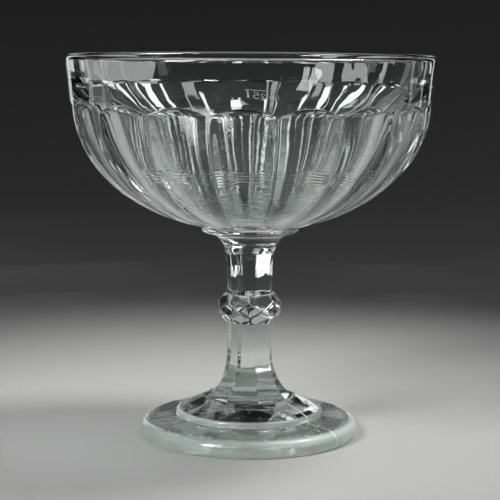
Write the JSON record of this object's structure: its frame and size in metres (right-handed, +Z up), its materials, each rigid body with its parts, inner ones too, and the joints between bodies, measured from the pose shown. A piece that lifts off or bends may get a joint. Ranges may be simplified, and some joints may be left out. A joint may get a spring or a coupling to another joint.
{
  "type": "berliner weisse glass",
  "caption": "Footed beer goblet in clear pressed glass: wide bowl with arched flutes, eight-sided stem with a faceted knop, and a round foot in two steps.",
  "frame": {"origin": "centre of the ring that the foot stands on, at table height", "axes": "+Z up along the stem's axis; -Y is the side that the picture shows"},
  "size_m": [0.15, 0.15, 0.1569],
  "materials": {
    "bowl_glass": "clear, fire-polished, with fine ripples inside",
    "stem_glass": "clear, faceted, soft edges",
    "foot_glass": "clear with a faint green edge, fire-polished"
  },
  "bodies": {
    "root": {"bowl": "bowl_glass", "collar": "stem_glass", "neck": "stem_glass", "upper_stem": "stem_glass", "knop": "stem_glass", "lower_stem": "stem_glass", "foot_disc": "foot_glass", "foot_plate": "foot_glass"}
  },
  "joints": []
}
